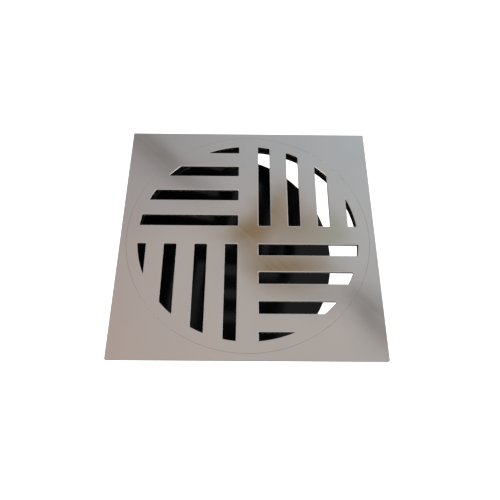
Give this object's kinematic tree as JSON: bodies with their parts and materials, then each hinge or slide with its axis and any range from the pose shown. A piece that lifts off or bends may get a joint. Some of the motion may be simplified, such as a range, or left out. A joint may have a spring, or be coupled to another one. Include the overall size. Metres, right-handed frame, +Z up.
{
  "type": "floor drain grate",
  "caption": "Square steel floor drain frame with a round slotted grid that lifts out and a round odour flap hung below on a sprung hinge.",
  "frame": {"origin": "centre of the top face, level with the finished floor", "axes": "+Z up out of the floor, -Y towards the front edge, +X to the right"},
  "size_m": [0.15, 0.15, 0.0691],
  "materials": {
    "grate_steel": "satin polished stainless sheet, softly reflecting",
    "pressed_steel": "pickled stainless pressing, dull",
    "pin_steel": "turned stainless, bright",
    "spring_steel": "drawn spring wire",
    "flap_plastic": "smooth black moulding",
    "collar_plastic": "fine-grained black moulding",
    "seal_rubber": "matt black",
    "bush_nylon": "natural nylon"
  },
  "bodies": {
    "frame": {"frame_plate": "grate_steel", "seat_ring": "collar_plastic", "grid_gasket": "seal_rubber", "collar_seal": "seal_rubber", "hinge_bracket": "pressed_steel", "hinge_pin": "pin_steel", "pin_clip": "spring_steel", "hinge_bush_front": "bush_nylon", "hinge_bush_back": "bush_nylon", "closing_spring": "spring_steel", "anchor_lug_back_right": "pressed_steel", "anchor_lug_back_left": "pressed_steel", "anchor_lug_front_left": "pressed_steel", "anchor_lug_front_right": "pressed_steel"},
    "grid": {"grid_disc": "grate_steel", "grid_tab_right": "pressed_steel", "grid_tab_back": "pressed_steel", "grid_tab_left": "pressed_steel", "grid_tab_front": "pressed_steel"},
    "flap": {"flap_disc": "flap_plastic", "hinge_leaf": "pressed_steel", "leaf_screw_inner": "pin_steel", "leaf_screw_back": "pin_steel", "leaf_screw_front": "pin_steel"}
  },
  "joints": [
    {"name": "grid_lift", "type": "slide", "parent": "frame", "child": "grid", "axis": [0, 0, 1], "range_m": [0, 0.04]},
    {"name": "flap_hinge", "type": "hinge", "parent": "frame", "child": "flap", "pos_m": [-0.0547, 0.04589, -0.0081], "axis": [0.6428, 0.766, 0], "range_deg": [-25, 35], "stiffness_Nm_per_rad": 0.093, "springref_deg": -25, "deforming": ["closing_spring"]}
  ]
}
